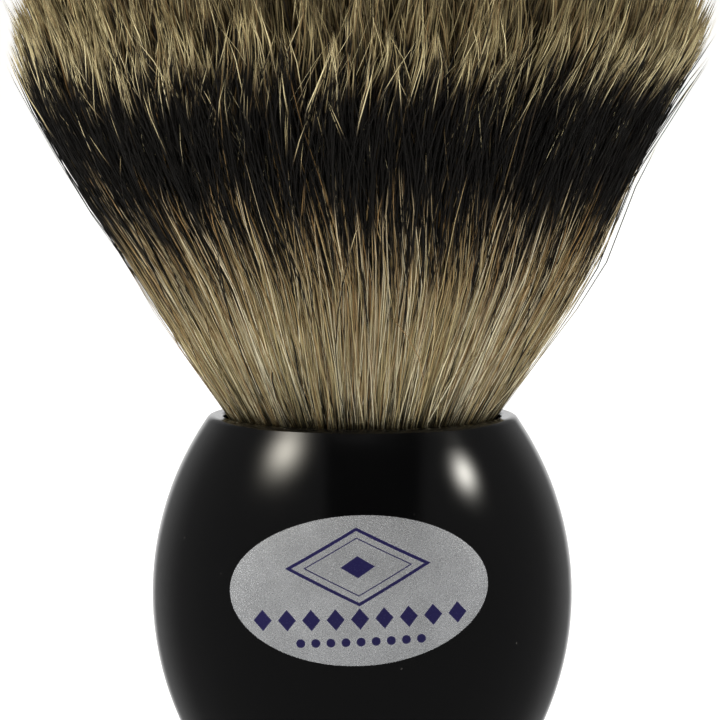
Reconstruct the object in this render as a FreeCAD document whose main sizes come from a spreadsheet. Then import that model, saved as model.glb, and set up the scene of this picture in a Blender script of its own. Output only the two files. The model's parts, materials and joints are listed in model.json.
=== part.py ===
import FreeCAD, Part
import math
import os

import Sketcher

# Shaving brush: a turned resin handle with a knot of badger hair glued into its socket.
# Millimetres. The origin is the middle of the foot's underside, +Z runs up through the hair, and
# the label faces -Y. Every turned piece is a half-section in the XZ plane, revolved about Z.

DIMENSIONS = {
    # the handle's outline: a round belly over a waist and a foot
    "rim_height": 51.2,
    "belly_radius": 18.5,
    "belly_height": 35.4,
    "belly_curve": 27.3,
    "waist_curve": 9.0,
    "foot_radius": 16.8,
    "foot_curve": 4.2,
    "foot_curve_height": 5.0,
    "foot_edge_round": 1.5,
    "rim_edge_round": 0.7,
    "mouth_edge_round": 0.3,
    "recess_radius": 11.0,
    "recess_depth": 0.8,
    # the socket bored down from the rim
    "socket_radius": 12.2,
    "socket_depth": 16.0,
    "pilot_radius": 2.5,
    "pilot_depth": 3.0,
    # the label, a thin foil bent over the belly
    "label_half_width": 11.15,
    "label_half_height": 6.45,
    "label_thickness": 0.15,
    "label_above_belly": 2.35,
    "label_left_of_middle": 0.3,
    "label_tilt": 2.6,
    # the knot's base: ring, epoxy plug, thread and the glue around them
    "ring_radius": 12.0,
    "ring_bore_radius": 11.2,
    "ring_length": 11.0,
    "glue_floor": 0.6,
    "plug_length": 7.0,
    "thread_diameter": 0.6,
    "thread_turns": 5,
    "thread_pitch": 0.62,
    "thread_slack": 0.02,
    "thread_rise": 0.1,
    "bound_hair_radius": 10.4,
    "bound_hair_length": 3.8,
    # the hair: a straight flare, a rounded shoulder and a shallow crown
    "hair_mouth_radius": 12.1,
    "hair_mouth_rise": 0.2,
    "hair_spread": 0.64,
    "hair_straight": 24.0,
    "flare_curve": 18.5,
    "hair_widest_height": 34.0,
    "crown_curve": 45.2,
    "hair_loft": 50.5,
    "core_foot_radius": 5.0,
    "core_top_radius": 16.0,
    "core_gap": 0.3,
    # the outer hair, in tufts that each swing about the ring's mouth
    "tuft_count": 12,
    "tuft_angle": 26.6,
    "tuft_hinge_radius": 9.0,
    "tuft_hinge_rise": 0.5,
    "tuft_skirt_rise": 3.0,
}


class Size:
    """A length together with the sheet expression that gives it."""

    def __init__(self, value, text):
        self.value = value
        self.text = text

    def joined(self, sign, other):
        value = self.value + other.value if sign == "+" else self.value - other.value
        return Size(value, f"({self.text} {sign} {other.text})")

    def __add__(self, other):
        return self.joined("+", other)

    def __sub__(self, other):
        return self.joined("-", other)

    def __mul__(self, other):
        return Size(self.value * other.value, f"({self.text} * {other.text})")


ZERO = Size(0.0, "0 mm")
FRONT = -90.0  # the azimuth of the front, in degrees from +X


def write_sheet(doc):
    """The driving dimensions, one row each: a name beside its number."""
    sheet = doc.addObject("Spreadsheet::Sheet", "Dims")
    for row, (alias, number) in enumerate(DIMENSIONS.items(), start=1):
        sheet.set(f"A{row}", alias)
        sheet.set(f"B{row}", str(number))
        sheet.setAlias(f"B{row}", alias)
    doc.recompute()
    return sheet


def dim(alias):
    return Size(float(DIMENSIONS[alias]), f"Dims.{alias} * 1 mm")


def ratio(alias):
    return Size(float(DIMENSIONS[alias]), f"Dims.{alias}")


def number(value):
    """A coordinate's number, whether it is a Size or a plain guess."""
    return value.value if isinstance(value, Size) else value


def origin_plane(body, role):
    return next(item for item in body.Origin.OriginFeatures if item.Role == role)


def arc_between(start, end, radius, turn):
    """The short arc from start to end. A turn of 1 runs anticlockwise, and -1 clockwise."""
    chord = end - start
    reach = math.sqrt(radius**2 - (chord.Length / 2) ** 2)
    across = FreeCAD.Vector(-chord.y, chord.x, 0).normalize()
    centre = (start + end) / 2 + across * reach * turn
    first, last = (start, end) if turn > 0 else (end, start)
    angles = [math.atan2(spot.y - centre.y, spot.x - centre.x) for spot in (first, last)]
    circle = Part.Circle(centre, FreeCAD.Vector(0, 0, 1), radius)
    return Part.ArcOfCircle(circle, angles[0], angles[1])


class Section:
    """A closed half-section in a body's XZ plane, whose sizes come from the sheet.

    Each corner is (radius, height), and each arc, keyed by the corner it leaves, is (radius, turn).
    A Size is pinned to the sheet, and a plain number only starts where the tangents then settle it.
    """

    def __init__(self, body, name, corners, arcs=None, smooth=(), centres=None):
        self.sketch = body.newObject("Sketcher::SketchObject", name)
        self.sketch.AttachmentSupport = [(origin_plane(body, "XZ_Plane"), "")]
        self.sketch.MapMode = "FlatFace"
        self.ends = []
        arcs = arcs or {}
        for index, corner in enumerate(corners):
            self.add_edge(corner, corners[(index + 1) % len(corners)], arcs.get(index))
        for index in range(len(corners)):
            self.join(index - 1, index, "Tangent" if index in smooth else "Coincident")
        for index, corner in enumerate(corners):
            self.pin(index, self.ends[index][0], corner)
        for index, (radius, _turn) in arcs.items():
            if isinstance(radius, Size):
                self.bind(Sketcher.Constraint("Radius", index, radius.value), radius)
        for index, centre in (centres or {}).items():
            self.pin(index, 3, centre)

    def add_edge(self, start, end, arc):
        start, end = (FreeCAD.Vector(number(x), number(z), 0) for x, z in (start, end))
        if arc is None:
            self.sketch.addGeometry(Part.LineSegment(start, end), False)
            self.ends.append((1, 2))
            return
        radius, turn = arc
        self.sketch.addGeometry(arc_between(start, end, number(radius), turn), False)
        self.ends.append((1, 2) if turn > 0 else (2, 1))

    def join(self, before, after, kind):
        before = before % len(self.ends)
        ends = (before, self.ends[before][1], after, self.ends[after][0])
        self.sketch.addConstraint(Sketcher.Constraint(kind, *ends))

    def pin(self, edge, end, corner):
        """Hold an edge's end, or its centre, at the sizes that its corner states."""
        for size, along, axis in zip(corner, ("DistanceX", "DistanceY"), (-2, -1)):
            if not isinstance(size, Size):
                continue
            if size is ZERO:
                self.sketch.addConstraint(Sketcher.Constraint("PointOnObject", edge, end, axis))
            else:
                self.bind(Sketcher.Constraint(along, -1, 1, edge, end, size.value), size)

    def bind(self, constraint, size):
        index = self.sketch.addConstraint(constraint)
        self.sketch.setExpression(f"Constraints[{index}]", size.text)


def add_body(doc, name):
    body = doc.addObject("PartDesign::Body", name)
    body.Label = name
    return body


def revolve(body, section, angle=None):
    """Turn a section about Z: all the way round, or across the XZ plane by a sheet angle."""
    turned = body.newObject("PartDesign::Revolution", body.Name + "_turned")
    turned.Profile = section.sketch
    turned.ReferenceAxis = (section.sketch, ["V_Axis"])
    turned.Angle = 360.0
    if angle:
        turned.Midplane = True
        turned.setExpression("Angle", f"Dims.{angle} * 1 deg")
    section.sketch.Visibility = False
    return turned


def turned_body(doc, name, corners, **outline):
    body = add_body(doc, name)
    revolve(body, Section(body, name + "_section", corners, **outline))
    return body


def round_edge(body, radius, height, alias):
    """Fillet the circular edge that has this radius and height by a size from the sheet."""
    doc = body.Document
    doc.recompute()
    base = body.Tip
    names = [
        f"Edge{index}"
        for index, edge in enumerate(base.Shape.Edges, start=1)
        if isinstance(edge.Curve, Part.Circle)
        and abs(edge.Curve.Radius - radius) < 0.01
        and abs(edge.Curve.Center.z - height) < 0.01
    ]
    if not names:
        raise ValueError(f"{body.Name} has no edge of radius {radius} at height {height}")
    fillet = body.newObject("PartDesign::Fillet", f"{body.Name}_{alias}")
    fillet.Base = (base, names)
    fillet.setExpression("Radius", f"Dims.{alias} * 1 mm")


def tangent_ball(first, first_reach, second, second_reach):
    """The centre at these reaches from two others, on the left of the way from first to second."""
    apart = second - first
    along = (first_reach**2 - second_reach**2 + apart.Length**2) / (2 * apart.Length)
    aside = math.sqrt(first_reach**2 - along**2)
    way = FreeCAD.Vector(apart).normalize()
    return first + way * along + FreeCAD.Vector(-way.y, way.x, 0) * aside


def on_circle(centre, towards, radius):
    spot = centre + (towards - centre).normalize() * radius
    return (spot.x, spot.y)


def belly_radius_at(height, offset=0.0):
    """The belly's radius at a height, or that of a skin standing off it."""
    curve = DIMENSIONS["belly_curve"]
    rise = height - DIMENSIONS["belly_height"]
    middle = DIMENSIONS["belly_radius"] - curve
    return middle + math.sqrt((curve + offset) ** 2 - rise**2)


def handle_body(doc):
    """The turned resin handle, with its socket, pilot hole and relieved foot."""
    rim, foot = dim("rim_height"), dim("foot_radius")
    socket, pilot, recess = dim("socket_radius"), dim("pilot_radius"), dim("recess_radius")
    socket_floor = rim - dim("socket_depth")
    pilot_floor = socket_floor - dim("pilot_depth")
    belly_centre = (dim("belly_radius") - dim("belly_curve"), dim("belly_height"))
    foot_centre = (foot - dim("foot_curve"), dim("foot_curve_height"))

    belly, ankle = (FreeCAD.Vector(x.value, z.value, 0) for x, z in (belly_centre, foot_centre))
    bulge, dip, curl = (DIMENSIONS[name] for name in ("belly_curve", "waist_curve", "foot_curve"))
    waist = tangent_ball(belly, bulge + dip, ankle, curl + dip)

    corners = [
        (ZERO, dim("recess_depth")),
        (recess, dim("recess_depth")),
        (recess, ZERO),
        (foot, ZERO),
        (foot.value, foot_centre[1].value),
        on_circle(ankle, waist, curl),
        on_circle(belly, waist, bulge),
        (belly_radius_at(rim.value), rim),
        (socket, rim),
        (socket, socket_floor),
        (pilot, socket_floor),
        (pilot, pilot_floor),
        (ZERO, pilot_floor),
    ]
    arcs = {
        4: (dim("foot_curve"), 1),
        5: (dim("waist_curve"), -1),
        6: (dim("belly_curve"), 1),
    }
    centres = {4: foot_centre, 6: belly_centre}
    body = turned_body(doc, "handle_body", corners, arcs=arcs, smooth=(4, 5, 6), centres=centres)
    round_edge(body, belly_radius_at(rim.value), rim.value, "rim_edge_round")
    round_edge(body, socket.value, rim.value, "mouth_edge_round")
    round_edge(body, foot.value, 0.0, "foot_edge_round")
    return body


def label(doc):
    """An oval foil label: a skin of the belly, kept where an upright oval bar crosses it."""
    middle = dim("belly_height") + dim("label_above_belly")
    skin_reach = dim("label_half_width")  # the skin stands further up and down than the oval does
    low, high = middle - skin_reach, middle + skin_reach
    thickness = DIMENSIONS["label_thickness"]
    corners = [
        (belly_radius_at(low.value), low),
        (belly_radius_at(low.value, thickness), low),
        (belly_radius_at(high.value, thickness), high),
        (belly_radius_at(high.value), high),
    ]
    centre = (dim("belly_radius") - dim("belly_curve"), dim("belly_height"))
    arcs = {
        1: (dim("belly_curve") + dim("label_thickness"), 1),
        3: (dim("belly_curve"), -1),
    }
    skin = turned_body(doc, "label_skin", corners, arcs=arcs, centres={1: centre, 3: centre})

    oval = doc.addObject("Part::Ellipse", "label_oval")
    oval.setExpression("MajorRadius", "Dims.label_half_width * 1 mm")
    oval.setExpression("MinorRadius", "Dims.label_half_height * 1 mm")
    upright = FreeCAD.Rotation(FreeCAD.Vector(1, 0, 0), 90)
    tilt = FreeCAD.Rotation(FreeCAD.Vector(0, 0, 1), DIMENSIONS["label_tilt"])
    oval.Placement = FreeCAD.Placement(FreeCAD.Vector(), upright.multiply(tilt))
    oval.setExpression(".Placement.Base.x", "-Dims.label_left_of_middle * 1 mm")
    oval.setExpression(".Placement.Base.z", middle.text)

    bar = doc.addObject("Part::Extrusion", "label_bar")
    bar.Base = oval
    bar.Dir = FreeCAD.Vector(0, -1, 0)
    bar.Solid = True
    bar.setExpression("LengthFwd", "Dims.belly_radius * 2 mm")

    foil = doc.addObject("Part::Common", "label")
    foil.Base = skin
    foil.Tool = bar
    return foil


def ring_floor():
    """The height at which the knot's ring and its plug stand, on the glue under them."""
    return dim("rim_height") - dim("socket_depth") + dim("glue_floor")


def socket_glue(doc):
    """The glue round and under the ring, and down the pilot hole."""
    ring, socket, pilot = dim("ring_radius"), dim("socket_radius"), dim("pilot_radius")
    floor = dim("rim_height") - dim("socket_depth")
    bottom = floor - dim("pilot_depth")
    top = ring_floor() + dim("ring_length")
    corners = [
        (ZERO, bottom),
        (pilot, bottom),
        (pilot, floor),
        (socket, floor),
        (socket, top),
        (ring, top),
        (ring, ring_floor()),
        (ZERO, ring_floor()),
    ]
    return turned_body(doc, "socket_glue", corners)


def knot_ring(doc):
    """The metal ring that the bundle is set in, a pad of its annulus."""
    body = add_body(doc, "knot_ring")
    sketch = body.newObject("Sketcher::SketchObject", "knot_ring_outline")
    sketch.AttachmentSupport = [(origin_plane(body, "XY_Plane"), "")]
    sketch.MapMode = "FlatFace"
    sketch.setExpression(".AttachmentOffset.Base.z", ring_floor().text)
    up = FreeCAD.Vector(0, 0, 1)
    for index, alias in enumerate(("ring_radius", "ring_bore_radius")):
        circle = Part.Circle(FreeCAD.Vector(), up, DIMENSIONS[alias])
        sketch.addGeometry(circle, False)
        sketch.addConstraint(Sketcher.Constraint("Coincident", index, 3, -1, 1))
        radius = Sketcher.Constraint("Radius", index, DIMENSIONS[alias])
        sketch.setExpression(f"Constraints[{sketch.addConstraint(radius)}]", dim(alias).text)
    pad = body.newObject("PartDesign::Pad", "knot_ring_wall")
    pad.Profile = sketch
    pad.setExpression("Length", "Dims.ring_length * 1 mm")
    return body


def glue_plug(doc):
    """The epoxy that locks the hairs' cut ends together in the ring."""
    plug = doc.addObject("Part::Cylinder", "glue_plug")
    plug.setExpression("Radius", "Dims.ring_bore_radius * 1 mm")
    plug.setExpression("Height", "Dims.plug_length * 1 mm")
    plug.setExpression(".Placement.Base.z", ring_floor().text)
    return plug


def binding_thread(doc):
    """The thread that ties the bundle above the plug, one closed ring for each turn."""
    plug_top = ring_floor() + dim("plug_length")
    turns = []
    for index in range(DIMENSIONS["thread_turns"]):
        turn = doc.addObject("Part::Torus", f"thread_turn_{index + 1}")
        half = "Dims.thread_diameter * 0.5 mm"
        reach = dim("bound_hair_radius") + dim("thread_slack")
        turn.setExpression("Radius1", f"{reach.text} + {half}")
        turn.setExpression("Radius2", half)
        rise = f"{half} + (Dims.thread_rise + {index} * Dims.thread_pitch) * 1 mm"
        turn.setExpression(".Placement.Base.z", f"{plug_top.text} + {rise}")
        turns.append(turn)
    thread = doc.addObject("Part::Compound", "binding_thread")
    thread.Links = turns
    return thread


def hair_roots(doc):
    """The tied bundle between the plug and the handle's mouth, where it starts to spread."""
    bound, mouth = dim("bound_hair_radius"), dim("hair_mouth_radius")
    plug_top = ring_floor() + dim("plug_length")
    bound_top = plug_top + dim("bound_hair_length")
    mouth_top = dim("rim_height") + dim("hair_mouth_rise")
    corners = [
        (ZERO, plug_top),
        (bound, plug_top),
        (bound, bound_top),
        (mouth, mouth_top),
        (ZERO, mouth_top),
    ]
    return turned_body(doc, "hair_roots", corners)


def crown_centre():
    return (ZERO, dim("rim_height") + dim("hair_loft") - dim("crown_curve"))


def crown_height_at(radius):
    return crown_centre()[1].value + math.sqrt(DIMENSIONS["crown_curve"] ** 2 - radius**2)


def shoulder_radius(widest, rise):
    """The arc that leaves the widest point upright, at this rise, and meets the crown smoothly."""
    crown = DIMENSIONS["crown_curve"]
    return (crown**2 - widest**2 - rise**2) / (2 * (crown - widest))


def hair_core(doc):
    """The middle of the knot, which stays upright between the tufts."""
    foot, top = dim("core_foot_radius"), dim("core_top_radius")
    bottom = dim("rim_height") + dim("hair_mouth_rise")
    corners = [
        (ZERO, bottom),
        (foot, bottom),
        (top, crown_height_at(top.value)),
        (ZERO, crown_height_at(0.0)),
    ]
    arcs = {2: (dim("crown_curve"), 1)}
    return turned_body(doc, "hair_core", corners, arcs=arcs, centres={2: crown_centre()})


def hair_tuft(doc, index):
    """One tuft of the outer hair: a wedge of the knot, turned to its own place round it."""
    rim, mouth = dim("rim_height"), dim("hair_mouth_radius")
    spread, skirt, straight = ratio("hair_spread"), dim("tuft_skirt_rise"), dim("hair_straight")
    hinge_height = rim + dim("tuft_hinge_rise")
    widest_height = rim + dim("hair_widest_height")
    inner_foot = dim("core_foot_radius") + dim("core_gap")
    inner_top = dim("core_top_radius") + dim("core_gap")

    curl = DIMENSIONS["flare_curve"]
    inward = FreeCAD.Vector(-1, spread.value, 0).normalize()
    widest = (mouth + spread * straight).value + inward.x * curl + curl
    crown = FreeCAD.Vector(0, crown_centre()[1].value, 0)
    shoulder_curve = shoulder_radius(widest, widest_height.value - crown.y)
    shoulder = FreeCAD.Vector(widest - shoulder_curve, widest_height.value, 0)

    corners = [
        (inner_foot, hinge_height),
        (dim("tuft_hinge_radius"), hinge_height),
        (mouth + spread * skirt, rim + skirt),
        (mouth + spread * straight, rim + straight),
        (widest, widest_height),
        on_circle(crown, shoulder, DIMENSIONS["crown_curve"]),
        (inner_top, crown_height_at(inner_top.value)),
    ]
    arcs = {
        3: (dim("flare_curve"), 1),
        4: (shoulder_curve, 1),
        5: (dim("crown_curve"), 1),
    }
    centres = {5: crown_centre()}
    name = f"hair_tuft_{index + 1:02d}"
    body = add_body(doc, name)
    section = Section(body, name + "_section", corners, arcs, smooth=(3, 4, 5), centres=centres)
    revolve(body, section, "tuft_angle")
    turn = FRONT + index * 360 / DIMENSIONS["tuft_count"]
    body.Placement = FreeCAD.Placement(
        FreeCAD.Vector(), FreeCAD.Rotation(FreeCAD.Vector(0, 0, 1), turn)
    )
    return body


def faults(doc):
    """The name of every object that failed to compute."""
    return [item.Name for item in doc.Objects if {"Invalid", "Error"} & set(item.State)]


def main():
    doc = FreeCAD.newDocument("shaving_brush")
    write_sheet(doc)
    pieces = [
        handle_body(doc),
        label(doc),
        socket_glue(doc),
        knot_ring(doc),
        glue_plug(doc),
        binding_thread(doc),
        hair_roots(doc),
        hair_core(doc),
    ]
    pieces += [hair_tuft(doc, index) for index in range(DIMENSIONS["tuft_count"])]
    doc.recompute()

    broken = faults(doc)
    for piece in pieces:
        if piece.Shape.isNull() or not piece.Shape.isValid():
            broken.append(piece.Label)
    if broken:
        raise RuntimeError("these did not compute: " + ", ".join(broken))

    os.makedirs("parts", exist_ok=True)
    for piece in pieces:
        piece.Shape.exportStep(f"parts/{piece.Label}.step")
        print(f"{piece.Label}: {piece.Shape.Volume:.1f} cubic mm")


main()
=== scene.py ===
import json
import math

import bpy
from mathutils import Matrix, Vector


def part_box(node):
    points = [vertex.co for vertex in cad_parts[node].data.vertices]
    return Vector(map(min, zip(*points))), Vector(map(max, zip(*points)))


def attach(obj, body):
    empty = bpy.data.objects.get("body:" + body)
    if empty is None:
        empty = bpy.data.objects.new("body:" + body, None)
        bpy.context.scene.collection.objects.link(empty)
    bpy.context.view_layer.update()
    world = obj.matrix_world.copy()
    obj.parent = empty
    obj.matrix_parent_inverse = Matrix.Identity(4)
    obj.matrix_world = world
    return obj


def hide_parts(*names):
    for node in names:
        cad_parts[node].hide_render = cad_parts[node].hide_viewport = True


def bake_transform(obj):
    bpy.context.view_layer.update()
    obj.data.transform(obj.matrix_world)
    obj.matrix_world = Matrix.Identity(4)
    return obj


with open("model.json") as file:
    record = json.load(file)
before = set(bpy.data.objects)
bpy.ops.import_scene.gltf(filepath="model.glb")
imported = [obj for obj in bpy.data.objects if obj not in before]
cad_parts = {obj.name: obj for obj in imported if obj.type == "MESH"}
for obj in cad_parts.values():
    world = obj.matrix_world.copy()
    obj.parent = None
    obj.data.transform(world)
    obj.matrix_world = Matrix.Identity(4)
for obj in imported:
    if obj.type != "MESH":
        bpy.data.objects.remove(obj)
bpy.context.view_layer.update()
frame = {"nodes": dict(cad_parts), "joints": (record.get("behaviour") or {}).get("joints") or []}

# A shaving brush: a polished black handle with a silver label, and a knot of banded badger hair.
# Metres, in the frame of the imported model: +Z up the brush, the label facing -Y.

MM = 0.001

# ---------------------------------------------------------------- places and sizes, from the frame

LABEL_LOW, LABEL_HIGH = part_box("label")
ROOTS_LOW, ROOTS_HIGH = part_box("hair_roots")
THREAD_LOW, THREAD_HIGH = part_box("binding_thread")
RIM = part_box("handle_body")[1].z
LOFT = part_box("hair_core")[1].z - RIM
MOUTH_RADIUS = ROOTS_HIGH.x
JOINTS = {joint["child"]: joint for joint in frame["joints"]}

# the knot's own sizes
OUTER_ROOT = MOUTH_RADIUS - 0.6 * MM  # the outermost hairs rise from this far out
CORE_ROOTS = (4.8 * MM, 7.6 * MM)  # the core's ragged edge, which the tufts' hairs mesh with
ROOT_DEPTH = 0.6 * MM
HAIR_SPREAD = 0.66  # how far the fan leans out for each unit that it rises, at its edge
SETTING_OUT = 0.93  # how far out a hair leans as it leaves the mouth, as a share of the fan's own lean
BULGE = 0.8 * MM  # how far the knot bulges to the left where it is fullest
BULGE_RISES, BULGE_FALLS = (13 * MM, 21 * MM), (27 * MM, 34 * MM)  # heights above the rim
APEX_DEPTH = OUTER_ROOT / HAIR_SPREAD  # the fan spreads from a point this far below the rim
HAIR_RADIUS = 0.085 * MM
BUNDLE_HAIR_RADIUS = 0.2 * MM
STRANDS_PER_TUFT = 3300
STRANDS_IN_CORE = 4000
STRANDS_IN_BUNDLE = 1500

# the colour atlas: a column for each variety of hair, dark to pale, where darker columns also carry
# painted shade for hairs inside the knot, and the distance along it going up
VARIETIES = 120
PATTERN_LOW, PATTERN_HIGH = -10 * MM, 54 * MM
OUTER_LENGTH = 40 * MM  # a hair this long has its band where the pattern says


# ---------------------------------------------------------------- building node trees


class Graph:
    """Adds nodes to a tree: plain values are set on a node's inputs, and sockets are linked."""

    def __init__(self, tree):
        self.tree = tree

    def add(self, kind, *values, inputs=None, **settings):
        node = self.tree.nodes.new(kind)
        for key, value in settings.items():
            setattr(node, key, value)
        for key, value in [*enumerate(values), *(inputs or {}).items()]:
            self.feed(node.inputs[key], value)
        return node

    def feed(self, socket, value):
        if isinstance(value, bpy.types.NodeSocket):
            self.tree.links.new(value, socket)
        elif value is not None:
            socket.default_value = value

    def maths(self, operation, *values, clamp=False):
        return self.add("ShaderNodeMath", *values, operation=operation, use_clamp=clamp).outputs[0]

    def plus(self, *values):
        total = values[0]
        for value in values[1:]:
            total = self.maths("ADD", total, value)
        return total

    def times(self, *values):
        total = values[0]
        for value in values[1:]:
            total = self.maths("MULTIPLY", total, value)
        return total

    def minus(self, first, second):
        return self.maths("SUBTRACT", first, second)

    def vector(self, operation, *values):
        node = self.add("ShaderNodeVectorMath", operation=operation)
        for key, value in enumerate(values):
            self.feed(node.inputs["Scale" if operation == "SCALE" and key else key], value)
        return node.outputs["Value" if operation in ("LENGTH", "DOT_PRODUCT") else "Vector"]

    def join(self, x, y, z):
        return self.add("ShaderNodeCombineXYZ", x, y, z).outputs[0]

    def split(self, vector):
        return self.add("ShaderNodeSeparateXYZ", vector).outputs

    def polar(self, radius, angle, height):
        """A point at this radius and angle about Z."""
        across = self.times(radius, self.maths("COSINE", angle))
        return self.join(across, self.times(radius, self.maths("SINE", angle)), height)

    def ramp(self, value, low, high, start=0.0, end=1.0, smooth=True):
        """A value carried from low..high to start..end."""
        kind = "SMOOTHSTEP" if smooth else "LINEAR"
        node = self.add("ShaderNodeMapRange", value, low, high, start, end, interpolation_type=kind)
        return node.outputs[0]

    def blend(self, factor, first, second):
        """A number between two others."""
        node = self.add("ShaderNodeMix", data_type="FLOAT", inputs={0: factor, 2: first, 3: second})
        return node.outputs[0]

    def mix(self, factor, first, second, blend="MIX"):
        """A colour between two others."""
        node = self.add("ShaderNodeMix", data_type="RGBA", blend_type=blend)
        for key, value in ((0, factor), (6, first), (7, second)):
            self.feed(node.inputs[key], value)
        return node.outputs[2]

    def shade(self, colour, strength):
        """A colour made darker or lighter by a number."""
        return self.mix(1.0, colour, self.join(strength, strength, strength), blend="MULTIPLY")


def rgb(red, green, blue):
    return (red, green, blue, 1.0)


def new_tree(name, kind, inputs, outputs):
    """A node group with named sockets, its graph, and what it is given."""
    tree = bpy.data.node_groups.new(name, kind)
    for way, sockets in (("INPUT", inputs), ("OUTPUT", outputs)):
        for label, socket in sockets.items():
            tree.interface.new_socket(label, in_out=way, socket_type="NodeSocket" + socket)
    g = Graph(tree)
    return tree, g, g.add("NodeGroupInput").outputs


# ---------------------------------------------------------------- the hair, grown by geometry nodes

# how far from the fan's apex the hair ends, against how far out it lies: the crown and its shoulder
CROWN = [(0.0, 1.0), (0.23, 0.995), (0.48, 0.976), (0.67, 0.957), (0.80, 0.93), (0.90, 0.879), (1.0, 0.78)]
# a hair's thickness along it: finest at the root, stoutest towards the tip, and drawn out to a point
THICKNESS = [(0.0, 0.75), (0.4, 0.9), (0.74, 1.25), (0.9, 0.85), (1.0, 0.06)]
SPIKE_SIDES, SPIKE_SEGMENTS = 3, 7
GATHERS_FROM = 0.6  # this far along, a hair starts to turn towards its wisp
WAVES = 8.0  # radians of waviness along a hair
STRAY_SHARE = 0.03
LOOSE_SHARE = 0.1

# where a pair gives a bound hair's value and a loose one's, the loose hair's comes second
TIP_SHARE = 0.92  # a tip lies this far out, as a share of how far out its hair sets out
DRAWN_IN = (0.3, 0.06)  # at most this share further in
SWING = (0.06, 0.18)  # and at most this far round the knot, in radians
RARE_SWING = 0.25  # though a few swing further
LEAN = (HAIR_SPREAD * SETTING_OUT, HAIR_SPREAD * (SETTING_OUT + 0.03))
PAST_CROWN = 1.012  # the longest hairs stand a little past the crown
FALLS_SHORT = (0.1, 0.24)  # a hair's shortfall at most: in the middle of the knot, and at its edge


def outline_curve(node, points):
    """Lay a float curve's mapping through these points."""
    curve = node.mapping.curves[0]
    for x, y in points[1:-1]:
        curve.points.new(x, y)
    for point, place in zip(curve.points, points):
        point.location = place
    node.mapping.update()


def dice(g, given, salt, low=0.0, high=1.0):
    """A random number for each point, from the tree's seed and a salt of its own."""
    seed = g.add("FunctionNodeIntegerMath", given["Seed"], salt, operation="ADD").outputs[0]
    node = g.add("FunctionNodeRandomValue", data_type="FLOAT")
    for key, value in ((2, low), (3, high), ("Seed", seed)):
        g.feed(node.inputs[key], value)
    return node.outputs[1]


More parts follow.
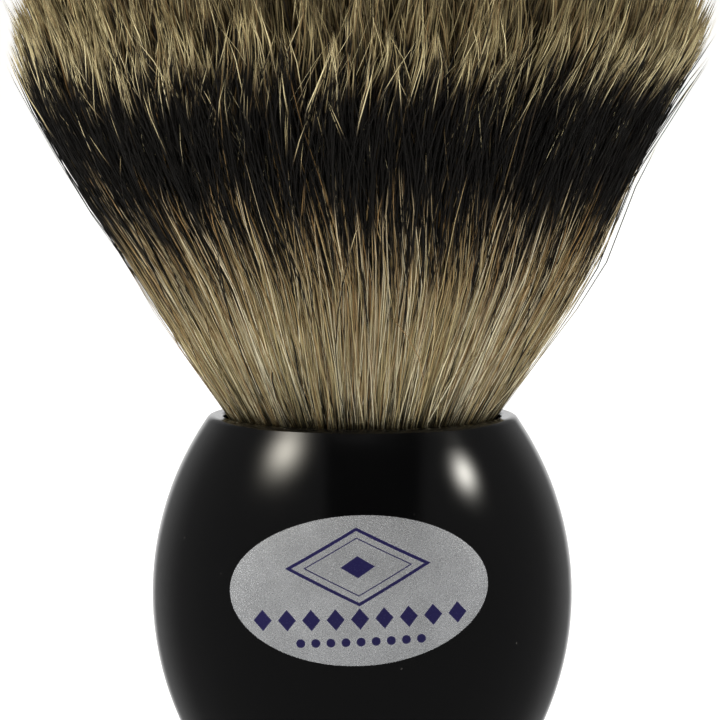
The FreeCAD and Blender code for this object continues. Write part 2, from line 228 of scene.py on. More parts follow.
def lay_strands(g, given, column, root, middle, tip, girth, **more):
    """Grow a spike along the curve from root to tip for each point, with its patch of the atlas.

    More may give: set_back, how far its colours are moved along it; gather, how far its tip is drawn
    aside to meet its wisp; wave, which way and how far it waves; phase, where the waves start; and
    bulge, how far the knot bulges to the left, most at 25 mm above the mouth.
    """
    points = g.add("GeometryNodePoints", given["Strands"])
    facts = g.add("GeometryNodeCaptureAttribute", domain="POINT")
    g.feed(facts.inputs["Geometry"], points.outputs[0])
    length = g.vector("LENGTH", g.vector("SUBTRACT", tip, root))
    for name, kind, value in (
        ("Column", "FLOAT", column),
        ("Root", "VECTOR", root),
        ("Middle", "VECTOR", middle),
        ("Tip", "VECTOR", tip),
        ("Girth", "FLOAT", girth),
        ("Length", "FLOAT", length),
        ("Set Back", "FLOAT", more.get("set_back", 0.0)),
        ("Gather", "VECTOR", more.get("gather", (0.0, 0.0, 0.0))),
        ("Wave", "VECTOR", more.get("wave", (0.0, 0.0, 0.0))),
        ("Phase", "FLOAT", more.get("phase", 0.0)),
    ):
        facts.capture_items.new(kind, name)
        g.feed(facts.inputs[name], value)
    fact = facts.outputs

    sizes = {
        "Vertices": SPIKE_SIDES,
        "Side Segments": SPIKE_SEGMENTS,
        "Radius Top": 0.0,
        "Depth": 1.0,
    }
    spike = g.add("GeometryNodeMeshCone", inputs=sizes)
    spot = g.split(g.add("GeometryNodeInputPosition").outputs[0])
    spoke = g.vector("NORMALIZE", g.join(spot[0], spot[1], 0.0))
    corner = g.split(spoke)
    patch = g.add("GeometryNodeCaptureAttribute", domain="POINT")
    g.feed(patch.inputs["Geometry"], spike.outputs["Mesh"])
    patch.capture_items.new("VECTOR", "Patch")
    # the spike's corners stand apart in its column, so that no face of it is flat there
    across = g.plus(g.times(g.plus(g.times(corner[1], 0.5), corner[0]), 0.25), 0.5)
    # its segments get shorter towards the tip, where the hair turns most
    along = g.minus(1.0, g.maths("POWER", g.minus(1.0, spot[2]), 1.3))
    g.feed(patch.inputs["Patch"], g.join(across, g.times(corner[1], 0.1 * MM), along))

    planted = g.add("GeometryNodeInstanceOnPoints")
    g.feed(planted.inputs["Points"], fact["Geometry"])
    g.feed(planted.inputs["Instance"], patch.outputs["Geometry"])
    g.feed(planted.inputs["Rotation"], g.join(0.0, 0.0, dice(g, given, 50, 0.0, math.tau)))
    grown = g.add("GeometryNodeRealizeInstances", planted.outputs[0])

    # bend the spike along its hair's curve, and swell it to its thickness
    back = g.minus(1.0, along)
    first = g.vector("SCALE", fact["Root"], g.maths("POWER", back, 2.0))
    second = g.vector("SCALE", fact["Middle"], g.times(along, back, 2.0))
    third = g.vector("SCALE", fact["Tip"], g.maths("POWER", along, 2.0))
    path = g.vector("ADD", g.vector("ADD", first, second), third)
    path = g.vector("ADD", path, g.vector("SCALE", fact["Gather"], g.ramp(along, GATHERS_FROM, 1.0)))
    swell = g.times(g.maths("SINE", g.plus(g.times(along, WAVES), fact["Phase"])), g.ramp(along, 0.0, 0.3))
    path = g.vector("ADD", path, g.vector("SCALE", fact["Wave"], swell))
    height = g.minus(g.split(path)[2], RIM)
    bulge = g.times(g.ramp(height, *BULGE_RISES), g.ramp(height, *BULGE_FALLS, 1.0, 0.0))
    path = g.vector("ADD", path, g.join(g.times(bulge, -more.get("bulge", 0.0)), 0.0, 0.0))
    profile = g.add("ShaderNodeFloatCurve", 1.0, along)
    outline_curve(profile, THICKNESS)
    place = g.vector("ADD", path, g.vector("SCALE", spoke, g.times(profile.outputs[0], fact["Girth"])))
    shaped = g.add("GeometryNodeSetPosition")
    g.feed(shaped.inputs["Geometry"], grown.outputs[0])
    g.feed(shaped.inputs["Position"], place)

    local = g.split(patch.outputs["Patch"])
    distance = g.plus(g.minus(g.times(local[2], fact["Length"]), fact["Set Back"]), local[1])
    atlas_u = g.maths("DIVIDE", g.plus(fact["Column"], local[0]), float(VARIETIES))
    atlas_v = g.ramp(distance, PATTERN_LOW, PATTERN_HIGH, smooth=False)
    atlas = g.add("GeometryNodeStoreNamedAttribute", data_type="FLOAT2", domain="CORNER")
    g.feed(atlas.inputs["Geometry"], shaped.outputs[0])
    g.feed(atlas.inputs["Name"], "OFBake")
    g.feed(atlas.inputs["Value"], g.join(atlas_u, atlas_v, 0.0))

    smooth = g.add("GeometryNodeSetShadeSmooth", atlas.outputs[0])
    painted = g.add("GeometryNodeSetMaterial")
    g.feed(painted.inputs["Geometry"], smooth.outputs[0])
    g.feed(painted.inputs["Material"], given["Material"])
    g.add("NodeGroupOutput", painted.outputs[0])


def lock_of(g, point, size, pull):
    """The lock of hairs that a point belongs to: how far it is drawn to its middle, and its own luck."""
    cells = g.add("ShaderNodeTexVoronoi", voronoi_dimensions="3D", feature="F1")
    g.feed(cells.inputs["Vector"], point)
    g.feed(cells.inputs["Scale"], g.maths("DIVIDE", 1.0, size))
    towards = g.vector("SUBTRACT", cells.outputs["Position"], point)
    return g.vector("SCALE", towards, pull), g.split(cells.outputs["Color"])


def knot_tree():
    """A geometry tree that grows part of the knot: hairs that rise from the mouth to the crown."""
    inputs = {
        "Strands": "Int",
        "Seed": "Int",
        "Azimuth": "Float",
        "Reach": "Float",
        "Inner From": "Float",
        "Inner To": "Float",
        "Outer From": "Float",
        "Outer To": "Float",
        "Radius": "Float",
        "Lock Size": "Float",
        "Lock Pull": "Float",
        "Wisp Size": "Float",
        "Wisp Pull": "Float",
        "Bow": "Float",
        "Waviness": "Float",
        "Loose Share": "Float",
        "Material": "Material",
    }
    tree, g, given = new_tree("knot_hair", "GeometryNodeTree", inputs, {"Geometry": "Geometry"})

    def chance(salt, low=0.0, high=1.0):
        return dice(g, given, salt, low, high)

    def rarely(salt):
        """Between -1 and 1, and mostly close to 0."""
        return g.maths("POWER", chance(salt, -1.0, 1.0), 3.0)

    # where each hair leaves the mouth
    aside = g.times(g.plus(chance(1, -0.5, 0.5), chance(2, -0.5, 0.5)), given["Reach"])
    azimuth = g.plus(given["Azimuth"], aside)
    inner = g.blend(chance(3), given["Inner From"], given["Inner To"])
    outer = g.blend(chance(4), given["Outer From"], given["Outer To"])
    area = g.blend(chance(5), g.maths("POWER", inner, 2.0), g.maths("POWER", outer, 2.0))
    # some fine pale hairs lie loose over the rest and cross them, and a few stray from the knot
    loose = g.maths("LESS_THAN", chance(24), given["Loose Share"])
    stray = g.maths("LESS_THAN", chance(17), STRAY_SHARE)
    distance = g.blend(loose, g.maths("SQRT", area), outer)
    out = g.maths("DIVIDE", distance, OUTER_ROOT)
    root = g.polar(distance, azimuth, RIM - ROOT_DEPTH)

    # where it ends: most of the way to the crown, closer in than it set out, and some fall short
    drawn_in = g.times(g.maths("POWER", chance(6), 2.0), g.blend(loose, *DRAWN_IN))
    tip_out = g.times(out, g.minus(TIP_SHARE, drawn_in))
    tip_out = g.plus(tip_out, chance(7, -0.03, 0.03), g.times(stray, 0.04))
    tip_out = g.maths("MAXIMUM", tip_out, 0.0)
    crown = g.add("ShaderNodeFloatCurve", 1.0, tip_out)
    outline_curve(crown, CROWN)
    short = g.times(g.maths("POWER", chance(8), 2.2), g.ramp(out, 0.5, 1.0, *FALLS_SHORT))
    short = g.plus(short, g.times(stray, chance(22, 0.0, 0.4)))
    reach = g.times(crown.outputs[0], g.minus(PAST_CROWN, short), LOFT + APEX_DEPTH)
    slope = g.times(tip_out, HAIR_SPREAD)
    rise = g.maths("DIVIDE", reach, g.maths("SQRT", g.plus(g.maths("POWER", slope, 2.0), 1.0)))
    swing = g.times(chance(10, -1.0, 1.0), g.blend(loose, *SWING))
    swing = g.plus(g.times(rarely(9), RARE_SWING), swing)
    tip = g.polar(g.times(rise, slope), g.plus(azimuth, swing), g.plus(rise, RIM - APEX_DEPTH))

    # neighbours lean together in locks, each its own way, and their tips gather in wisps
    beside = g.polar(1.0, g.plus(azimuth, math.pi / 2), 0.0)
    pull, lock = lock_of(g, tip, given["Lock Size"], given["Lock Pull"])
    tip = g.vector("ADD", tip, pull)
    own_way = g.times(g.minus(lock[2], 0.5), given["Lock Size"], 1.1)
    tip = g.vector("ADD", tip, g.vector("SCALE", beside, own_way))
    gather, wisp = lock_of(g, tip, given["Wisp Size"], g.times(given["Wisp Pull"], chance(11, 0.5, 1.0)))

    # it bows and waves a little on the way, more round the knot than in and out, but for the strays
    climb = g.times(g.minus(g.split(tip)[2], RIM - ROOT_DEPTH), 0.6)
    sway = g.plus(g.times(rarely(12), 0.25), g.times(stray, g.maths("POWER", chance(18), 2.0), 0.9))
    heading = g.polar(g.times(out, g.blend(loose, *LEAN)), azimuth, 1.0)
    middle = g.vector("ADD", root, g.vector("SCALE", heading, climb))
    middle = g.vector("ADD", middle, g.polar(g.times(sway, given["Bow"]), azimuth, 0.0))
    aside = g.plus(rarely(13), chance(23, -0.2, 0.2), g.times(g.minus(wisp[2], 0.5), 0.5))
    middle = g.vector("ADD", middle, g.vector("SCALE", beside, g.times(aside, given["Bow"])))
    wave = g.polar(g.times(chance(19), given["Waviness"]), chance(20, 0.0, math.tau), 0.0)

    # how pale it is, by its lock, its wisp and its own luck, with painted shade that darkens the hairs
    # inside the knot
    luck = g.plus(g.times(lock[0], 0.22), g.times(wisp[0], 0.42), g.times(chance(14), 0.36))
    pale = g.times(luck, g.ramp(out, 0.84, 1.0, 0.25, 1.0))
    pale = g.plus(pale, g.times(loose, g.minus(1.0, pale), 0.65))
    column = g.maths("FLOOR", g.times(pale, VARIETIES - 0.01))
    # how far its colours are set back: a longer hair's band lies further along, and a lock's lie together
    length = g.vector("LENGTH", g.vector("SUBTRACT", tip, root))
    set_back = g.times(g.minus(length, OUTER_LENGTH), chance(15, 0.0, 0.9))
    uneven = g.plus(g.times(g.minus(lock[1], 0.5), 4.0 * MM), g.times(g.minus(wisp[1], 0.5), 3.5 * MM))
    set_back = g.plus(set_back, uneven)

    girth = g.times(given["Radius"], g.plus(0.5, g.times(g.maths("POWER", chance(16), 1.5), 0.9)))
    girth = g.times(girth, g.minus(1.0, g.times(g.maths("MAXIMUM", loose, stray), 0.35)))
    more = {"set_back": set_back, "gather": gather, "wave": wave, "phase": chance(21, 0.0, math.tau)}
    lay_strands(g, given, column, root, middle, tip, girth, bulge=BULGE, **more)
    return tree


def bundle_tree():
    """A geometry tree that grows the tied bundle: hairs that run straight up, and out at the mouth."""
    inputs = {
        "Strands": "Int",
        "Seed": "Int",
        "Bound Radius": "Float",
        "Mouth Radius": "Float",
        "Bottom": "Float",
        "Bound Top": "Float",
        "Top": "Float",
        "Radius": "Float",
        "Material": "Material",
    }
    tree, g, given = new_tree("bundle_hair", "GeometryNodeTree", inputs, {"Geometry": "Geometry"})
    azimuth = dice(g, given, 1, 0.0, math.tau)
    share = g.maths("SQRT", dice(g, given, 2, 0.55, 1.0))
    bound = g.times(share, g.minus(given["Bound Radius"], given["Radius"]))
    mouth = g.times(share, g.minus(given["Mouth Radius"], given["Radius"]))
    root = g.polar(bound, azimuth, given["Bottom"])
    middle = g.polar(bound, azimuth, given["Bound Top"])
    tip = g.polar(mouth, azimuth, given["Top"])
    column = g.maths("FLOOR", dice(g, given, 3, VARIETIES * 0.3, VARIETIES * 0.7))
    lay_strands(g, given, column, root, middle, tip, given["Radius"])
    return tree


def grow(name, tree, **sizes):
    """Run a geometry tree with these inputs, and keep the result as a plain mesh."""
    piece = bpy.data.objects.new(name, bpy.data.meshes.new(name + "_seed"))
    bpy.context.scene.collection.objects.link(piece)
    modifier = piece.modifiers.new("grow", "NODES")
    modifier.node_group = tree
    for item in tree.interface.items_tree:
        key = item.name.lower().replace(" ", "_")
        if item.in_out == "INPUT" and key in sizes:
            modifier[item.identifier] = sizes[key]
    depsgraph = bpy.context.evaluated_depsgraph_get()
    mesh = bpy.data.meshes.new_from_object(piece.evaluated_get(depsgraph), depsgraph=depsgraph)
    piece.modifiers.remove(modifier)
    piece.data = mesh
    return piece


# ---------------------------------------------------------------- effects that materials share


def streaks_group():
    """Fine streaks along Z on a round piece: a value that changes quickly round it."""
    inputs = {"Round": "Float", "Along": "Float", "Detail": "Float"}
    tree, g, given = new_tree("streaks", "ShaderNodeTree", inputs, {"Value": "Float"})
    place = g.split(g.add("ShaderNodeTexCoord").outputs["Object"])
    spoke = g.split(g.vector("NORMALIZE", g.join(place[0], place[1], 0.0)))
    across = g.vector("SCALE", g.join(spoke[0], spoke[1], 0.0), given["Round"])
    spot = g.vector("ADD", across, g.join(0.0, 0.0, g.times(place[2], given["Along"])))
    noise = g.add("ShaderNodeTexNoise", inputs={"Vector": spot, "Scale": 1.0, "Detail": given["Detail"]})
    g.add("NodeGroupOutput", noise.outputs[0])
    return tree


def specks_group():
    """Sparse round specks: a mask that is 1 in the middle of a few small cells."""
    inputs = {"Scale": "Float", "Share": "Float", "Size": "Float"}
    tree, g, given = new_tree("specks", "ShaderNodeTree", inputs, {"Mask": "Float"})
    place = g.add("ShaderNodeTexCoord").outputs["Object"]
    cells = g.add("ShaderNodeTexVoronoi", inputs={"Vector": place, "Scale": given["Scale"]})
    chosen = g.maths("LESS_THAN", g.split(cells.outputs["Color"])[0], given["Share"])
    near = g.ramp(cells.outputs["Distance"], given["Size"], 0.0)
    g.add("NodeGroupOutput", g.times(chosen, near))
    return tree


STREAKS = streaks_group()
SPECKS = specks_group()


def effect(g, tree, **values):
    """Place a shared effect in a material with values of its own, and give its output."""
    named = {key.capitalize(): value for key, value in values.items()}
    return g.add("ShaderNodeGroup", node_tree=tree, inputs=named).outputs[0]


# ---------------------------------------------------------------- materials


def new_material(name, **constants):
    """A material with one shader, whose constant inputs are set on it directly."""
    material = bpy.data.materials.new(name)
    material.use_nodes = True
    material.node_tree.nodes.clear()
    g = Graph(material.node_tree)
    named = {key.replace("_", " "): value for key, value in constants.items()}
    shader = g.add("ShaderNodeBsdfPrincipled", inputs=named)
    g.add("ShaderNodeOutputMaterial", shader.outputs[0])
    return material, g, shader


BAND_STARTS, BAND_ENDS = (12.0, 24.0), (33.5, 38.5)  # millimetres along a hair, from one to another
ROOT_TONES = (
    rgb(0.028, 0.019, 0.008),
    rgb(0.19, 0.146, 0.06),
    rgb(0.36, 0.295, 0.15),
    rgb(0.7, 0.655, 0.49),
)
TIP_TONES = (rgb(0.04, 0.029, 0.014), rgb(0.26, 0.21, 0.1), rgb(0.68, 0.595, 0.35))
RUST, CHESTNUT, BROWN = rgb(0.17, 0.095, 0.034), rgb(0.19, 0.105, 0.03), rgb(0.2, 0.12, 0.05)
ASH, SILVER_TIP, NEAR_BLACK = rgb(0.3, 0.27, 0.19), rgb(0.46, 0.42, 0.28), rgb(0.009, 0.008, 0.007)


def hair_material():
    """Badger hair, read from the atlas: a beige root, a near-black band and a pale tip."""
    material, g, shader = new_material("badger_hair", Roughness=0.42, Specular_IOR_Level=0.4)
    uv = g.split(g.add("ShaderNodeUVMap", uv_map="OFBake").outputs[0])
    column = g.maths("FLOOR", g.times(uv[0], float(VARIETIES)))
    along = g.ramp(uv[1], 0.0, 1.0, PATTERN_LOW / MM, PATTERN_HIGH / MM, smooth=False)

    def fate(salt, low=0.0, high=1.0):
        noise = g.add("ShaderNodeTexWhiteNoise", noise_dimensions="2D")
        g.feed(noise.inputs["Vector"], g.join(column, salt, 0.0))
        return g.ramp(noise.outputs["Value"], 0.0, 1.0, low, high, smooth=False)

    # the band's ends, in millimetres along the hair
    low, high = fate(1.5, *BAND_STARTS), fate(2.5, *BAND_ENDS)
    enter = g.ramp(along, g.minus(low, 1.8), g.plus(low, 1.8))
    leave = g.ramp(along, g.minus(high, 1.4), g.plus(high, 2.0))
    band = g.maths("SUBTRACT", enter, leave, clamp=True)
    band = g.times(band, g.ramp(fate(3.5), 0.0, 0.1, 0.3, 1.0))

    # below it the hair runs from umber through tan to straw and cream, browner towards the band
    umber, tan, straw, cream = ROOT_TONES
    pale = g.plus(g.maths("DIVIDE", column, float(VARIETIES)), fate(4.5, -0.12, 0.12))
    root = g.mix(g.ramp(pale, 0.0, 0.4, smooth=False), umber, tan)
    root = g.mix(g.ramp(pale, 0.4, 0.8, smooth=False), root, straw)
    root = g.mix(g.ramp(pale, 0.8, 1.0, smooth=False), root, cream)
    root = g.mix(g.ramp(fate(5.5), 0.76, 0.84, 0.0, 0.75), root, RUST)
    root = g.mix(g.ramp(along, 7.0, -1.0, 0.0, 0.2), root, ASH)
    root = g.mix(g.ramp(along, g.minus(low, 9.0), low, 0.0, 0.6), root, CHESTNUT)
    # painted shade: it is darkened where it goes down between its neighbours into the mouth
    root = g.shade(root, g.ramp(along, 0.8, 6.4, 0.04, 1.07))
    # and above it from dark olive to a pale one
    dark_olive, olive, pale_olive = TIP_TONES
    tip = g.mix(g.ramp(pale, 0.05, 0.5, smooth=False), dark_olive, olive)
    tip = g.mix(g.ramp(pale, 0.5, 1.0, smooth=False), tip, pale_olive)
    tip = g.mix(g.ramp(fate(6.5), 0.7, 0.9, 0.0, 0.6), tip, BROWN)
    tip = g.mix(g.ramp(along, 40.0, 54.0, 0.0, 0.4), tip, SILVER_TIP)
    tone = g.mix(leave, root, tip)
    mottle = g.add("ShaderNodeTexNoise", inputs={"Scale": 0.35, "Detail": 2.0})
    g.feed(mottle.inputs["Vector"], g.join(g.times(column, 9.1), along, 0.0))
    tone = g.shade(tone, g.ramp(mottle.outputs[0], 0.3, 0.7, 0.82, 1.15, smooth=False))
    g.feed(shader.inputs["Base Color"], g.mix(band, tone, NEAR_BLACK))
    return material


def resin_material():
    """Polished black resin, with a few grains of dust and faint wiping marks."""
    material, g, shader = new_material("black_resin", IOR=1.5)
    place = g.add("ShaderNodeTexCoord").outputs["Object"]
    wipe = g.add("ShaderNodeTexNoise", inputs={"Vector": place, "Scale": 160.0, "Detail": 4.0})
    g.feed(shader.inputs["Roughness"], g.ramp(wipe.outputs[0], 0.35, 0.65, 0.1, 0.15))
    dust = effect(g, SPECKS, scale=900.0, share=0.05, size=0.12)
    g.feed(shader.inputs["Base Color"], g.mix(dust, rgb(0.001, 0.001, 0.0011), rgb(0.045, 0.043, 0.04)))
    return material


LABEL_TILT = math.radians(2.6)
# the label's ornament, in millimetres from its middle: a lozenge in a frame over two rows of marks
FRAME_UP, LOZENGES_UP, DOTS_UP = 2.1, -2.35, -4.35
FRAME_HALF, CENTRE_HALF, LOZENGE_HALF, DOT_RADIUS = (6.0, 3.2), (1.5, 0.95), (0.8, 0.95), 0.4
LINE_HALF, FINE_LINE_HALF, LINES_APART = 0.3, 0.12, 1.4
IN_A_ROW, LOZENGE_PITCH, DOT_PITCH = 9, 2.1, 1.3
INK = rgb(0.01, 0.0085, 0.042)


def label_material():
    """Silver foil with a fine metallic flake, and a plain ornament printed in dark blue."""
    material, g, shader = new_material("label_foil", Specular_IOR_Level=0.2)
    spot = g.add("ShaderNodeTexCoord").outputs["Object"]
    place = g.split(spot)
    middle = (LABEL_LOW + LABEL_HIGH) / 2
    across, up = g.minus(place[0], middle.x), g.minus(place[2], middle.z)
    cosine, sine = math.cos(LABEL_TILT) / MM, math.sin(LABEL_TILT) / MM
    x = g.plus(g.times(across, cosine), g.times(up, sine))
    z = g.minus(g.times(up, cosine), g.times(across, sine))
    far_x = g.maths("ABSOLUTE", x)

    def solid(distance):
        """Ink where a distance in millimetres is below nothing."""
        return g.ramp(distance, 0.03, -0.03)

    def line(distance, half):
        """Ink where a distance from the middle of a line is less than half its width."""
        return solid(g.minus(g.maths("ABSOLUTE", distance), half))

    def row(height, pitch, shape):
        """A row of equal marks, one of them in the middle: shape gives the distance outside one."""
        nearest = g.maths("ROUND", g.maths("DIVIDE", x, pitch))
        beside = g.maths("ABSOLUTE", g.minus(x, g.times(nearest, pitch)))
        within = g.maths("LESS_THAN", far_x, pitch * IN_A_ROW / 2)
        return g.times(solid(shape(beside, g.maths("ABSOLUTE", g.minus(z, height)))), within)

    def lozenge(wide, tall):
        """How far outside a lozenge of these half sizes a point is."""
        return lambda beside, above: g.minus(g.plus(beside, g.times(above, wide / tall)), wide)

    def dot(radius):
        """How far outside a round dot a point is."""

        def outside(beside, above):
            return g.minus(g.maths("SQRT", g.plus(g.times(beside, beside), g.times(above, above))), radius)

        return outside

    above = g.maths("ABSOLUTE", g.minus(z, FRAME_UP))
    outline = lozenge(*FRAME_HALF)(far_x, above)
    marks = [
        line(outline, LINE_HALF),
        line(g.plus(outline, LINES_APART), FINE_LINE_HALF),
        solid(lozenge(*CENTRE_HALF)(far_x, above)),
        row(LOZENGES_UP, LOZENGE_PITCH, lozenge(*LOZENGE_HALF)),
        row(DOTS_UP, DOT_PITCH, dot(DOT_RADIUS)),
    ]
    ink = marks[0]
    for mark in marks[1:]:
        ink = g.maths("MAXIMUM", ink, mark)

    flake = g.add("ShaderNodeTexVoronoi", inputs={"Vector": spot, "Scale": 9000.0})
    grain = g.split(flake.outputs["Color"])
    cloud = g.add("ShaderNodeTexNoise", inputs={"Vector": spot, "Scale": 260.0, "Detail": 3.0})
    silver = g.ramp(grain[0], 0.0, 1.0, 0.66, 0.74, smooth=False)
    silver = g.times(silver, g.ramp(cloud.outputs[0], 0.3, 0.7, 0.88, 1.06))
    spark = effect(g, SPECKS, scale=5200.0, share=0.06, size=0.5)
    silver = g.blend(spark, silver, 1.0)
    foil = g.join(g.times(silver, 0.98), silver, g.times(silver, 1.035))
    g.feed(shader.inputs["Base Color"], g.mix(ink, foil, INK))
    g.feed(shader.inputs["Metallic"], g.ramp(ink, 0.0, 1.0, 0.8, 0.0))
    g.feed(shader.inputs["Roughness"], g.ramp(grain[1], 0.0, 1.0, 0.22, 0.28, smooth=False))
    # it is brushed along its length, which draws its highlights out up and down
    brushed = g.join(g.times(x, 5.0), 0.0, g.times(z, 16.0))
    grooves = g.add("ShaderNodeTexNoise", inputs={"Vector": brushed, "Scale": 1.0, "Detail": 1.0})
    bump = g.add("ShaderNodeBump", inputs={"Distance": 0.012 * MM, "Height": grooves.outputs[0]})
    g.feed(shader.inputs["Normal"], bump.outputs[0])
    return material


def ring_material():
    """Drawn metal, brushed along its length, with a few pits."""
    material, g, shader = new_material("ring_metal", Metallic=1.0)
    drawn = effect(g, STREAKS, round=140.0, along=60.0, detail=3.0)
    pits = effect(g, SPECKS, scale=1400.0, share=0.06, size=0.2)
    colour = g.mix(pits, rgb(0.72, 0.72, 0.73), rgb(0.3, 0.29, 0.28))
    g.feed(shader.inputs["Base Color"], g.shade(colour, g.ramp(drawn, 0.3, 0.7, 0.8, 1.05)))
    g.feed(shader.inputs["Roughness"], g.ramp(drawn, 0.3, 0.7, 0.24, 0.42))
    return material


def resinous_material(name, colour, cloud, bubbles, **constants):
    """Cured glue or epoxy: cloudy, with small trapped bubbles."""
    material, g, shader = new_material(name, **constants)
    place = g.add("ShaderNodeTexCoord").outputs["Object"]
    haze = g.add("ShaderNodeTexNoise", inputs={"Vector": place, "Scale": 350.0, "Detail": 4.0})
    bubble = effect(g, SPECKS, scale=1100.0, share=bubbles, size=0.3)
    tone = g.mix(g.ramp(haze.outputs[0], 0.35, 0.65), colour, cloud)
    g.feed(shader.inputs["Base Color"], g.mix(g.times(bubble, 0.6), tone, rgb(0.9, 0.87, 0.78)))
    g.feed(shader.inputs["Roughness"], g.ramp(haze.outputs[0], 0.3, 0.7, 0.16, 0.34))
    return material


def thread_material():
    """Waxed cotton thread: a twist that shows as slanting ridges, with painted shade in the grooves
    between them.
    """
    material, g, shader = new_material("waxed_thread", Roughness=0.6)
    place = g.split(g.add("ShaderNodeTexCoord").outputs["Object"])
    turn = g.maths("ARCTAN2", place[1], place[0])
    twist = g.maths("SINE", g.plus(g.times(turn, 160.0), g.times(place[2], 9000.0)))
    fluff = effect(g, STREAKS, round=90.0, along=4000.0, detail=4.0)
    tone = g.mix(fluff, rgb(0.62, 0.55, 0.42), rgb(0.8, 0.74, 0.6))
    # painted shade: the colour is darkened in the grooves of the twist
    g.feed(shader.inputs["Base Color"], g.shade(tone, g.ramp(twist, -1.0, 1.0, 0.6, 1.0)))
    bump = g.add("ShaderNodeBump", inputs={"Strength": 0.6, "Distance": 0.05 * MM, "Height": twist})
    g.feed(shader.inputs["Normal"], bump.outputs[0])
    return material


# ---------------------------------------------------------------- the brush

badger = hair_material()
knot_hair = knot_tree()
common = {
    "radius": HAIR_RADIUS,
    "lock_size": 2.6 * MM,
    "lock_pull": 0.4,
    "wisp_size": 1.3 * MM,
    "wisp_pull": 0.6,
    "bow": 3.4 * MM,
    "waviness": 0.4 * MM,
    "material": badger,
}

core = grow(
    "knot_core",
    knot_hair,
    strands=STRANDS_IN_CORE,
    seed=100,
    azimuth=0.0,
    reach=2 * math.tau,
    inner_from=0.0,
    inner_to=0.0,
    outer_from=CORE_ROOTS[0],
    outer_to=CORE_ROOTS[1],
    loose_share=0.0,
    **common,
)
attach(core, "brush")
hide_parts("hair_core")

# each tuft's hairs rise round the direction of its hinge, in place of its own hair part
for number, body in enumerate(sorted(JOINTS)):
    hinge = Vector(JOINTS[body]["pos_m"])
    azimuth = math.atan2(hinge.y, hinge.x)
    tuft = grow(
        "knot_" + body,
        knot_hair,
        strands=STRANDS_PER_TUFT,
        seed=1000 + 100 * number,
        azimuth=azimuth,
        reach=2 * math.tau / len(JOINTS),
        inner_from=CORE_ROOTS[0],
        inner_to=CORE_ROOTS[1],
        outer_from=OUTER_ROOT,
        outer_to=OUTER_ROOT,
        loose_share=LOOSE_SHARE,
        **common,
    )
    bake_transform(tuft)
    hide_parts("hair_" + body)

bundle = grow(
    "tied_bundle",
    bundle_tree(),
    strands=STRANDS_IN_BUNDLE,
    seed=5000,
    bound_radius=THREAD_HIGH.x - (THREAD_HIGH.z - THREAD_LOW.z) / 4,
    mouth_radius=MOUTH_RADIUS,
    bottom=ROOTS_LOW.z,
    bound_top=THREAD_HIGH.z,
    top=ROOTS_HIGH.z,
    radius=BUNDLE_HAIR_RADIUS,
    material=badger,
)
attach(bundle, "brush")
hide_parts("hair_roots")

finishes = {
    "handle_body": resin_material(),
    "label": label_material(),
    "knot_ring": ring_material(),
    "socket_glue": resinous_material(
        "socket_glue", rgb(0.7, 0.62, 0.45), rgb(0.8, 0.76, 0.64), 0.12, Specular_IOR_Level=0.5
    ),
    "glue_plug": resinous_material(
        "plug_epoxy", rgb(0.42, 0.24, 0.07), rgb(0.56, 0.38, 0.16), 0.2, Specular_IOR_Level=0.55
    ),
    "binding_thread": thread_material(),
}
for node, material in finishes.items():
    for socket in frame["nodes"][node].material_slots:
        socket.material = material


# ---------------------------------------------------------------- floor, light and camera


def add_floor():
    """A plain white floor, too pale to tell from the room behind it."""
    mesh = bpy.data.meshes.new("floor")
    reach = 8.0
    corners = [(-reach, -reach, 0), (reach, -reach, 0), (reach, reach, 0), (-reach, reach, 0)]
    mesh.from_pydata(corners, [], [(0, 1, 2, 3)])
    floor = bpy.data.objects.new("floor", mesh)
    bpy.context.scene.collection.objects.link(floor)
    material, _, _ = new_material(
        "floor",
        Base_Color=rgb(0.85, 0.85, 0.85),
        Roughness=0.9,
        Specular_IOR_Level=0.0,
        Emission_Color=rgb(1, 1, 1),
        Emission_Strength=0.5,
    )
    mesh.materials.append(material)
    floor.visible_glossy = False


def glow(g, way, centre, upright, size, strength):
    """A soft-edged lamp in one direction, which fades from its middle with its width and height."""
    width, height = size
    middle = Vector(centre).normalized()
    top = Vector(upright)
    top = (top - middle * top.dot(middle)).normalized()
    side = top.cross(middle)
    near_side = g.maths("POWER", g.times(g.vector("DOT_PRODUCT", way, side), 1 / width), 2.0)
    near_top = g.maths("POWER", g.times(g.vector("DOT_PRODUCT", way, top), 1 / height), 2.0)
    fall = g.maths("EXPONENT", g.times(g.plus(near_side, near_top), -0.5))
    in_front = g.maths("GREATER_THAN", g.vector("DOT_PRODUCT", way, middle), 0.0)
    return g.times(fall, in_front, strength)


# the lamps that show in the polish: each one's tint, direction, upright, spread and strength
LAMPS = [
    (rgb(1.0, 0.955, 0.83), (-0.644, -0.251, 0.722), (0.59, 0.41, 0.69), (0.107, 0.086), 14.0),
    (rgb(1.0, 0.98, 0.895), (0.8, -0.169, 0.576), (-0.54, 0.2, 0.82), (0.075, 0.06), 20.5),
    (rgb(1.0, 1.0, 1.0), (0, 0, 1), (0, 1, 0), (0.17, 0.17), 3.2),
]


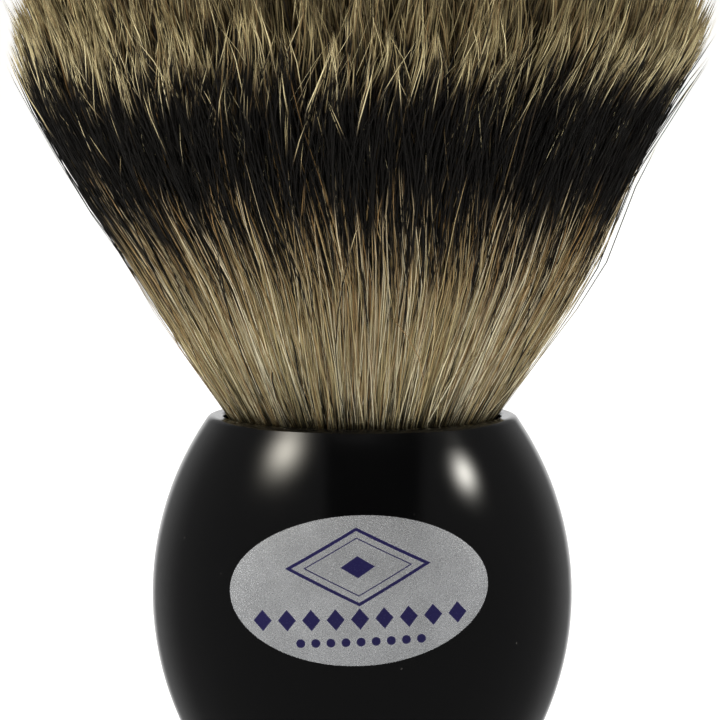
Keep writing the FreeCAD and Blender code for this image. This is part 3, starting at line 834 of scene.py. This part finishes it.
def add_world():
    """A studio: dim in front, pale behind, with two soft lamps and a broad faint one overhead."""
    world = bpy.data.worlds.new("studio")
    world.use_nodes = True
    world.node_tree.nodes.clear()
    g = Graph(world.node_tree)
    way = g.add("ShaderNodeTexCoord").outputs["Generated"]
    x, y, z = g.split(way)[:3]

    room = g.ramp(y, 0.45, 0.92, 0.135, 0.27)
    room = g.plus(room, g.ramp(y, 0.91, 0.99, 0.0, 0.7))
    # the dark of the room beyond the lamps, straight ahead and above
    dark = g.times(g.ramp(x, -0.4, -0.28), g.ramp(x, 0.6, 0.46), g.ramp(z, 0.2, 0.34))
    dark = g.times(dark, g.ramp(z, 0.9, 0.84), g.ramp(y, 0.0, -0.1))
    room = g.times(room, g.minus(1.0, g.times(dark, 0.88)))

    colour = g.join(room, room, room)
    for tint, centre, upright, size, strength in LAMPS:
        lamp = g.shade(tint, glow(g, way, centre, upright, size, strength))
        colour = g.mix(1.0, colour, lamp, blend="ADD")

    lit = g.add("ShaderNodeBackground", inputs={"Color": colour, "Strength": 1.0})
    seen = g.add("ShaderNodeBackground", inputs={"Color": rgb(1, 1, 1), "Strength": 1.2})
    watched = g.add("ShaderNodeLightPath").outputs["Is Camera Ray"]
    both = g.add("ShaderNodeMixShader", watched, lit.outputs[0], seen.outputs[0])
    g.add("ShaderNodeOutputWorld", both.outputs[0])
    bpy.context.scene.world = world


LAMP_DISTANCE = 0.7


def add_fill(name, way, energy):
    """A broad soft light from one direction, which shows in no reflection."""
    lamp = bpy.data.lights.new(name, "AREA")
    lamp.shape = "RECTANGLE"
    lamp.size, lamp.size_y = 0.5, 0.4
    lamp.energy = energy
    lamp.color = (1.0, 0.985, 0.96)
    fill = bpy.data.objects.new(name, lamp)
    target = Vector((0, 0, RIM))
    fill.location = target + Vector(way).normalized() * LAMP_DISTANCE
    fill.rotation_euler = (target - fill.location).to_track_quat("-Z", "Y").to_euler()
    fill.visible_camera = False
    fill.visible_glossy = False
    bpy.context.scene.collection.objects.link(fill)


CAMERA_DISTANCE, VIEW_WIDTH = 0.7, 63.36 * MM
CAMERA_ELEVATION = math.radians(5.4)


def add_camera():
    """A long lens, level with the knot and looking a little down on the mouth."""
    camera = bpy.data.cameras.new("camera")
    camera.sensor_width = 36.0
    camera.lens = camera.sensor_width * CAMERA_DISTANCE / VIEW_WIDTH
    camera.clip_start = 0.01
    target = Vector((-0.2 * MM, 0.0, RIM + 4.8 * MM))
    away = Vector((0, -math.cos(CAMERA_ELEVATION), math.sin(CAMERA_ELEVATION)))
    eye = target + away * CAMERA_DISTANCE
    holder = bpy.data.objects.new("camera", camera)
    holder.location = eye
    holder.rotation_euler = (target - eye).to_track_quat("-Z", "Y").to_euler()
    bpy.context.scene.collection.objects.link(holder)
    bpy.context.scene.camera = holder


add_floor()
add_world()
add_fill("left_fill", (-1.0, -0.14, 0.0), 7.0)
add_fill("right_fill", (1.0, -0.14, 0.0), 5.0)
add_fill("front_fill", (-0.1, -0.65, 0.75), 3.8)
add_camera()
bpy.context.scene.view_settings.view_transform = "Standard"
